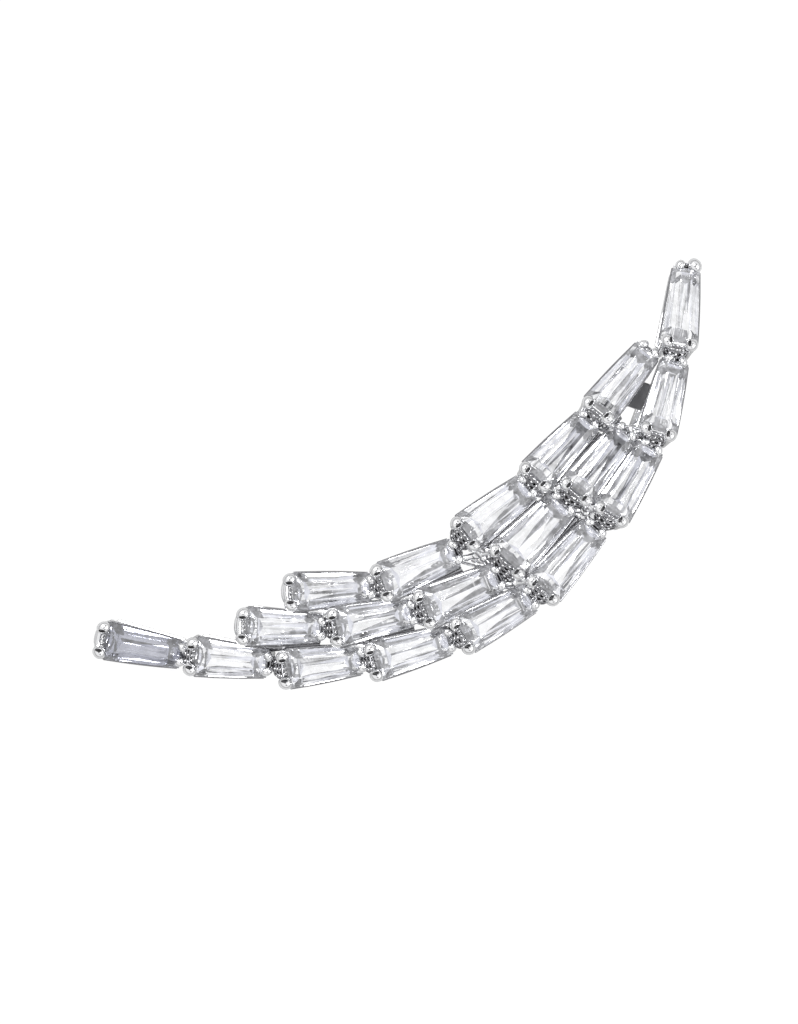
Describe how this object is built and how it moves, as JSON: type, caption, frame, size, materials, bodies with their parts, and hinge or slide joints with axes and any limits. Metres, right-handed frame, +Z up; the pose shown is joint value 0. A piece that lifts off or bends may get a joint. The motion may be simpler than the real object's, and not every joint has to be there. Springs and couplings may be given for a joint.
{
  "type": "ear cuff",
  "caption": "Wing-shaped ear cuff of tapered clear stones in open claw settings, with a spring clip behind that wraps the rim of the ear.",
  "frame": {"origin": "centre of the bounding box's underside, on the surface that the cuff rests on", "axes": "+Z up, out of the jewelled face; +X from the free tip of the longest strand towards the wing's upper end; +Y towards the upper end's point"},
  "size_m": [0.0346, 0.0246, 0.0089],
  "materials": {
    "white_metal": "polished",
    "clear_stone": "polished step cut"
  },
  "bodies": {
    "root": {"setting_frame": "white_metal", "ear_clip": "white_metal", "stone_outer_1": "clear_stone", "stone_outer_2": "clear_stone", "stone_outer_3": "clear_stone", "stone_outer_4": "clear_stone", "stone_outer_5": "clear_stone", "stone_outer_6": "clear_stone", "stone_outer_7": "clear_stone", "stone_outer_8": "clear_stone", "stone_outer_9": "clear_stone", "stone_middle_1": "clear_stone", "stone_middle_2": "clear_stone", "stone_middle_3": "clear_stone", "stone_middle_4": "clear_stone", "stone_middle_5": "clear_stone", "stone_inner_1": "clear_stone", "stone_inner_2": "clear_stone", "stone_inner_3": "clear_stone", "stone_inner_4": "clear_stone", "stone_inner_5": "clear_stone"}
  },
  "joints": []
}
